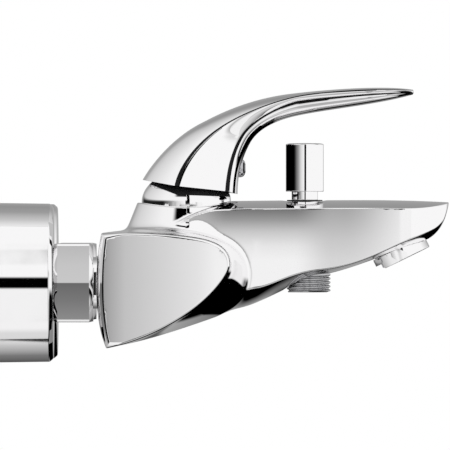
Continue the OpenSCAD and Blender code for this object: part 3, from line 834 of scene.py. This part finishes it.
def cut(piece, mesh):
    """Takes a closed mesh in row metres away from a piece."""
    cutter = new_object("cutter", mesh)
    modifier = piece.modifiers.new("cut", "BOOLEAN")
    modifier.operation = "DIFFERENCE"
    modifier.solver = "EXACT"
    modifier.object = cutter
    bpy.context.view_layer.update()
    made = bpy.data.meshes.new_from_object(piece.evaluated_get(bpy.context.evaluated_depsgraph_get()))
    piece.modifiers.remove(modifier)
    name = piece.data.name
    piece.data = made
    made.name = name
    bpy.data.objects.remove(cutter)


housing = [(11, -11, 0.2), (12.4, -11, 0.2), (12.4, -5.9, 0.1), (13.65, -5.9, 0.25), (13.65, 0, 0.45),
           (11, 0, 0.35)]
ring_points, ring_faces, _ = spin(housing, (AERATOR_X, 0, AERATOR_Z), JET, 192)
aerator = place("aerator_skin", ring_points, ring_faces, None, "mixer", ["aerator_housing"], CHROME)
cut_box(aerator, (5.5, -9, -2.6), (25, 9, 3))

# ---- lever

BACK_LINE = chain(
    (67.5, 49),
    (70.5, 54.5), (81, 69.5), (97.5, 77.2),
    (110.5, 84.1), (124, 88.6), (139, 90.4),
    (158, 92.7), (184, 94.4), (197.2, 92.3))
RIDGE_LINE = chain(
    (83.2, 46.1),
    (84.6, 53.5), (90.5, 63), (100.3, 70.8),
    (109.5, 78.2), (124.5, 84.8), (140.7, 88.7),
    (155, 91.6), (180, 93.2), (197.5, 91.8))
FRONT_LINE = chain(
    (108.7, 43.4),
    (109.2, 51.5), (110.5, 61.5), (115.4, 69.8),
    (118.9, 76), (129, 83), (141.6, 86.4),
    (158, 88.8), (180, 90.4), (197.6, 90.8))
BELLY_LINE = chain(
    (113.1, 42.2),
    (113.1, 50), (114.5, 58.5), (119.5, 67.4),
    (123.5, 73.8), (131.5, 77.8), (143, 80.1),
    (158, 83.2), (182, 85.4), (197.2, 90))
PIVOT_Z = 33.0
HOOD_R = 23
SEAM_DEPTH = 0.3
# Columns of points on one side of the lever: back to ridge, ridge to front edge, front edge to belly
BACK_COLUMNS, SIDE_COLUMNS, BELLY_COLUMNS = 22, 16, 19


def lever_rings(steps):
    """Rings of the lever from the hood's edge to the tip, each from the back over one side to the belly."""
    t = 3 * (1 - (1 - np.linspace(0, 1, steps)) ** 1.25)
    back, ridge, front, belly = (along(line, t) for line in (BACK_LINE, RIDGE_LINE, FRONT_LINE, BELLY_LINE))
    end = np.where(t < 2.6, 1, np.sqrt(np.maximum(1 - (np.clip(t - 2.6, 0, 0.4) / 0.4) ** 2.4, 0.0004)))
    ridge_w = mix(22.5, 11.5, np.minimum(1, (t / 2.6) ** 0.9)) * end
    front_w = mix(18, 10, np.minimum(1, (t / 2.6) ** 0.8)) * end
    columns = []
    crown = 0.62
    # Fine grooves follow the ridge and the front edge
    groove = SEAM_DEPTH * end
    before_ridge = groove / np.maximum(np.linalg.norm(ridge - back, axis=1), 1.5)
    after_ridge = groove / np.maximum(np.linalg.norm(front - ridge, axis=1), 1.5)
    for a in 1 - (1 - np.linspace(0, 1, BACK_COLUMNS)) ** 1.6:
        share = np.minimum(a, 1 - before_ridge) if a < 1 else np.full_like(t, a)
        width = np.sqrt(1 - (1 - share * crown) ** 2) / math.sqrt(1 - (1 - crown) ** 2)
        depth = groove if a == 1 else 0
        columns.append((mix(back, ridge, share[:, None]), width * ridge_w - depth))
    for a in np.linspace(0, 1, SIDE_COLUMNS + 1)[1:]:
        share = np.clip(a, after_ridge, 1 - after_ridge) if a < 1 else np.full_like(t, a)
        depth = groove if a == 1 else 0
        spot = mix(ridge, front, share[:, None])
        columns.append((spot, mix(ridge_w, front_w, share) + 2.2 * share * (1 - share) * end - depth))
    for angle in np.linspace(0, math.pi / 2, BELLY_COLUMNS + 1)[1:]:
        out, across = math.sin(angle) ** 0.9, max(math.cos(angle), 0) ** 0.62
        columns.append((mix(front, belly, out), front_w * across))
    half = [np.stack([c[:, 0], -w, c[:, 1]], -1) for c, w in columns]
    other = [np.stack([c[:, 0], w, c[:, 1]], -1) for c, w in columns[-2:0:-1]]
    return np.stack(half + other, 1)


def closed_loft(rings):
    """A solid through rings, with a fan of faces at each end."""
    rows, columns = rings.shape[:2]
    keep = np.ones(rows, bool)
    keep[-1] = False
    faces = grid_faces(rows, columns, keep)[:, ::-1].tolist()
    points = rings.reshape(-1, 3)
    points = np.vstack([points, rings[0].mean(0), rings[-1].mean(0)])
    first, last = len(points) - 2, len(points) - 1
    for j in range(columns):
        k = (j + 1) % columns
        faces.append([first, j, k])
        faces.append([last, (rows - 1) * columns + k, (rows - 1) * columns + j])
    return points, faces


def ball(centre, radius, lines=64):
    """A closed sphere in row metres."""
    mesh = bpy.data.meshes.new("ball")
    work = bmesh.new()
    bmesh.ops.create_uvsphere(work, u_segments=lines * 2, v_segments=lines, radius=radius * MM)
    shift = Vector((centre[0] * MM, centre[1] * MM, (centre[2] + INLET_RISE) * MM))
    bmesh.ops.translate(work, verts=work.verts, vec=shift)
    work.to_mesh(mesh)
    work.free()
    return mesh


lever_points, lever_faces = closed_loft(lever_rings(150))
lever = place("lever_skin", lever_points, lever_faces, None, "lever", ["lever"], CHROME)
lever.data.materials.append(CHROME_PAINTED_SHADE)
# The faces on either side of the ridge and of the front edge are black: painted shade along the creases
RING = 2 * (BACK_COLUMNS + SIDE_COLUMNS + BELLY_COLUMNS) - 2
RIDGE, FRONT = BACK_COLUMNS - 1, BACK_COLUMNS + SIDE_COLUMNS - 1
CREASE_SHADE_COLUMNS = {RIDGE - 1, RIDGE, FRONT - 1, FRONT}
for face in lever.data.polygons[: (len(lever_points) // RING - 1) * RING]:
    column = face.index % RING
    face.material_index = int(column in CREASE_SHADE_COLUMNS or RING - 1 - column in CREASE_SHADE_COLUMNS)
cut(lever, ball((CARTRIDGE_X, 0, PIVOT_Z), HOOD_R))
lever.data.polygons.foreach_set("use_smooth", np.ones(len(lever.data.polygons), bool))
hood_centre = Vector((CARTRIDGE_X * MM, 0, (PIVOT_Z + INLET_RISE) * MM))
# The hood's inside, cut by the ball, is black as well: painted shade inside the hood
for face in lever.data.polygons:
    if abs((face.center - hood_centre).length - HOOD_R * MM) < 0.06 * MM:
        face.material_index = 1

plug = [(0, 111, 0), (4.45, 111, 0.2), (4.45, 114.6, 0.3), (4.1, 115.7, 0.4), (3.2, 116.5, 0.6),
        (1.8, 116.95, 1.0), (0, 117.05, 0)]
PLUG_Z = 54.7
place("indicator_skin", *spin(plug, (0, 0, PLUG_Z), OUT, 96), "lever", ["indicator_plug"], DOT)

# ---- finishes of the CAD nodes, and the springs

FINISHES = [
    (CHROME, ["wall_union_left", "wall_union_right"]),
    (BRASS, ["retaining_nut", "diverter_valve"]),
    (STEEL, ["inlet_strainer_left", "inlet_strainer_right", "spindle", "spindle_pin", "diverter_rod",
             "grub_screw"]),
    (RUBBER, ["inlet_washer_left", "inlet_washer_right", "cartridge_seal", "diverter_gland_ring",
              "diverter_lower_seal", "diverter_upper_seal", "outlet_gasket", "aerator_gasket"]),
    (CERAMIC, ["fixed_disc", "moving_disc"]),
    (IVORY, ["cartridge_base", "disc_carrier", "cartridge_turret", "cartridge_housing"]),
    (WHITE, ["check_cage", "check_poppet"]),
    (GREY, ["aerator_insert", "aerator_screen"]),
]
for material, names in FINISHES:
    for name in names:
        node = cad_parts[name]
        node.data.materials.clear()
        node.data.materials.append(material)


def spring(node):
    """A copy of a CAD spring in steel, which rides the mixer in place of the hidden node."""
    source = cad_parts[node]
    piece = new_object(f"{node}_coil", source.data.copy())
    piece.matrix_world = source.matrix_world.copy()
    piece.data.materials.clear()
    piece.data.materials.append(STEEL)
    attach(piece, "mixer")
    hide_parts(node)
    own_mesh(piece)


spring("diverter_spring")
spring("check_spring")

# ---- floor, light and camera

FLOOR_HALF, FLOOR_Z = 5.0, -0.30
floor_mesh = bpy.data.meshes.new("floor")
corners = [(-1, -1), (1, -1), (1, 1), (-1, 1)]
floor_mesh.from_pydata([(x * FLOOR_HALF, y * FLOOR_HALF, FLOOR_Z) for x, y in corners], [], [(0, 1, 2, 3)])
floor = new_object("floor", floor_mesh)
pale = bpy.data.materials.new("pale_floor")
pale.use_nodes = True
pale.node_tree.nodes["Principled BSDF"].inputs["Base Color"].default_value = (0.9, 0.9, 0.9, 1)
pale.node_tree.nodes["Principled BSDF"].inputs["Roughness"].default_value = 0.9
floor_mesh.materials.append(pale)
floor.visible_glossy = False


class Nodes:
    """Short ways to build a shader tree."""

    def __init__(self, tree):
        self.tree = tree
        tree.nodes.clear()

    def add(self, kind):
        return self.tree.nodes.new(kind)

    def feed(self, source, socket):
        if isinstance(source, (int, float)):
            socket.default_value = source
        else:
            self.tree.links.new(source, socket)

    def maths(self, kind, *values):
        node = self.add("ShaderNodeMath")
        node.operation = kind
        for value, socket in zip(values, node.inputs):
            self.feed(value, socket)
        return node.outputs[0]

    def rise(self, value, low, high):
        """0 at low and 1 at high, which may be the smaller of the two."""
        node = self.add("ShaderNodeMapRange")
        node.interpolation_type = "SMOOTHSTEP"
        self.feed(value, node.inputs["Value"])
        spread = (low, high, 0, 1) if low < high else (high, low, 1, 0)
        for name, number in zip(("From Min", "From Max", "To Min", "To Max"), spread):
            node.inputs[name].default_value = number
        return node.outputs[0]

    def band(self, value, rise_start, rise_end, fall_start, fall_end):
        up, down = self.rise(value, rise_start, rise_end), self.rise(value, fall_end, fall_start)
        return self.maths("MULTIPLY", up, down)

    def ramp(self, value, stops):
        """A level from (place, level) stops."""
        first, last = stops[0][0], stops[-1][0]
        node = self.add("ShaderNodeValToRGB")
        for _ in stops[2:]:
            node.color_ramp.elements.new(0.5)
        for element, (spot, level) in zip(node.color_ramp.elements, stops):
            element.position = (spot - first) / (last - first)
            element.color = (level, level, level, 1)
        place_in = self.maths("DIVIDE", self.maths("SUBTRACT", value, first), last - first)
        self.feed(place_in, node.inputs["Fac"])
        return node.outputs["Color"]

    def blend(self, factor, a, b):
        node = self.add("ShaderNodeMix")
        self.feed(factor, node.inputs["Factor"])
        self.feed(a, node.inputs["A"])
        self.feed(b, node.inputs["B"])
        return node.outputs["Result"]


def studio():
    """The sky that reflections show, by direction: a white tent with a dark left, a darker rear, and a dark
    gap beside the camera. Azimuth is 0 towards the camera and grows towards the spout, in degrees."""
    world = bpy.data.worlds.new("studio")
    world.use_nodes = True
    bpy.context.scene.world = world
    n = Nodes(world.node_tree)
    parts = n.add("ShaderNodeSeparateXYZ")
    n.feed(n.add("ShaderNodeTexCoord").outputs["Generated"], parts.inputs["Vector"])
    x, y, z = parts.outputs
    azimuth = n.maths("DEGREES", n.maths("ARCTAN2", x, n.maths("MULTIPLY", y, -1.0)))
    height = n.maths("DEGREES", n.maths("ARCSINE", z))

    level = n.ramp(azimuth, [(-180, 0.02), (-62, 0.01), (-40, 0.30), (-22, 0.75), (-6, 0.95), (0, 1.0),
                             (150, 1.0), (180, 0.25)])
    over = n.ramp(azimuth, [(-180, 0.30), (-125, 0.70), (-60, 0.95), (0, 1.0), (95, 1.0), (140, 0.6),
                            (180, 0.30)])
    under = n.ramp(azimuth, [(-180, 0.16), (-160, 0.35), (-90, 0.5), (-50, 0.87), (-5, 0.95), (2, 0.95),
                             (12, 0.45), (25, 0.45), (40, 0.75), (60, 0.35), (75, 0.0), (180, 0.0)])
    level = n.blend(n.rise(height, 3, 11), level, over)
    level = n.blend(n.rise(height, -3, -11), level, under)
    level = n.blend(n.maths("MULTIPLY", n.rise(height, -68, -80), n.rise(azimuth, 60, -20)), level, 0.7)
    behind = n.rise(n.maths("ABSOLUTE", azimuth), 140, 165)
    rear = n.ramp(height, [(-90, 0.0), (-38, 0.0), (-28, 0.16), (-8, 0.36), (0, 0.42), (8, 0.38), (35, 0.3),
                           (55, 0.35), (76, 0.6), (90, 0.9)])
    below = n.ramp(height, [(-90, 0.9), (-76, 0.58), (-48, 0.2), (-20, 0.1), (-3, 0.1)])
    turned = n.maths("MAXIMUM", n.rise(azimuth, 177.5, 178.5), n.rise(azimuth, -140, -160))
    rear = n.blend(n.maths("MULTIPLY", turned, n.rise(height, -2, -5)), rear, below)
    slant = n.maths("DIVIDE", x, n.maths("MAXIMUM", n.maths("ABSOLUTE", z), 0.01))
    rear = n.blend(n.maths("MULTIPLY", n.rise(slant, 0.44, 0.52), n.rise(height, -1, -4)), rear, 0.0)
    level = n.blend(behind, level, rear)
    dark = n.maths("MULTIPLY", n.band(azimuth, 1.2, 1.7, 8.2, 9.4), n.band(height, -62, -54, 54, 62))
    core = n.maths("MULTIPLY", n.band(azimuth, -3, -1.8, 8.2, 9.4), n.band(height, -10, -6, 6, 10))
    left = n.maths("MULTIPLY", n.band(azimuth, -36, -24, 0.3, 0.42), n.band(height, 24, 30, 46, 52))
    right = n.maths("MULTIPLY", n.band(azimuth, 0.92, 1.05, 6.5, 8.5), n.band(height, 24, 30, 46, 52))
    for more in (core, left, right):
        dark = n.maths("MAXIMUM", dark, more)
    level = n.blend(dark, level, 0.0)

    tent = n.add("ShaderNodeBackground")
    n.feed(level, tent.inputs["Color"])
    plain = n.add("ShaderNodeBackground")
    plain.inputs["Color"].default_value = (1, 1, 1, 1)
    switch = n.add("ShaderNodeMixShader")
    n.feed(n.add("ShaderNodeLightPath").outputs["Is Camera Ray"], switch.inputs["Fac"])
    n.feed(tent.outputs[0], switch.inputs[1])
    n.feed(plain.outputs[0], switch.inputs[2])
    n.feed(switch.outputs[0], n.add("ShaderNodeOutputWorld").inputs["Surface"])


def board(name, start, end, bottom, top, shade):
    """An upright lit board from one (x, y) to another, seen only in reflections. shade sets its level."""
    mesh = bpy.data.meshes.new(name)
    corners = [(*start, bottom), (*end, bottom), (*end, top), (*start, top)]
    mesh.from_pydata([(x * MM, y * MM, (z + INLET_RISE) * MM) for x, y, z in corners], [], [(0, 1, 2, 3)])
    mat = bpy.data.materials.new(name)
    mat.use_nodes = True
    n = Nodes(mat.node_tree)
    parts = n.add("ShaderNodeSeparateXYZ")
    n.feed(n.add("ShaderNodeTexCoord").outputs["Object"], parts.inputs["Vector"])
    x = n.maths("DIVIDE", parts.outputs[0], MM)
    z = n.maths("SUBTRACT", n.maths("DIVIDE", parts.outputs[2], MM), INLET_RISE)
    glow = n.add("ShaderNodeEmission")
    n.feed(shade(n, x, z), glow.inputs["Color"])
    n.feed(glow.outputs[0], n.add("ShaderNodeOutputMaterial").inputs["Surface"])
    mesh.materials.append(mat)
    piece = new_object(name, mesh)
    piece.visible_camera = piece.visible_diffuse = piece.visible_shadow = piece.visible_transmission = False


def front_shade(n, x, z):
    wing = n.ramp(x, [(34, 0.28), (42, 0.42), (52, 0.57), (78, 0.70), (100, 0.82), (112, 0.93),
                      (120, 0.95)])
    shoulder = n.ramp(z, [(-10, 0.95), (10, 0.95), (17, 0.85), (24, 0.62), (30, 0.34), (34, 0.22),
                          (38, 0.14)])
    middle = n.ramp(z, [(-10, 0.76), (10, 0.72), (20, 0.62), (30, 0.48), (38, 0.38)])
    high_early = n.maths("MULTIPLY", n.rise(z, 12, 22), n.rise(x, 112, 119))
    level = n.blend(n.maths("MAXIMUM", n.rise(x, 118, 126), high_early), wing, shoulder)
    level = n.blend(n.rise(x, 140, 160), level, middle)
    return n.blend(n.rise(x, 165, 205), level, 0.95)


def rim_shade(n, x, z):
    return n.ramp(x, [(27, 0.0), (45, 0.0), (47.5, 0.2)])


def nut_shade(n, x, z):
    return n.ramp(z, [(-42, 0.30), (-18, 0.20), (-0.6, 0.15), (0.6, 0.62), (18, 0.60), (42, 0.50)])


def knob_shade(n, x, z):
    return n.ramp(z, [(43, 0.0), (67, 0.0)])


# Grey gradients for the side, a dark line for the arm's rim, two greys for the nut, and black left of the knob
board("front_board", (30, -200), (260, -200), -60, 37.5, front_shade)
board("rim_board", (27, -105), (47.5, -105), -36, 26, rim_shade)
board("nut_board", (25.9, -97.5), (44.8, -97.5), -42, 42, nut_shade)
board("knob_board", (131, -11.2), (131, 11.2), 43, 67, knob_shade)
studio()

VIEW_WIDTH = 0.216
VIEW_CENTRE = (0.10704, 0.03986)
LENS, SENSOR = 1000.0, 36
camera_data = bpy.data.cameras.new("camera")
camera_data.lens = LENS
camera_data.sensor_width = SENSOR
camera = new_object("camera", camera_data)
distance = VIEW_WIDTH * LENS / SENSOR
camera.location = (VIEW_CENTRE[0], -distance, VIEW_CENTRE[1])
camera.rotation_euler = (math.pi / 2, 0, 0)
camera_data.clip_end = 3 * distance
bpy.context.scene.camera = camera
bpy.context.scene.view_settings.view_transform = "Standard"
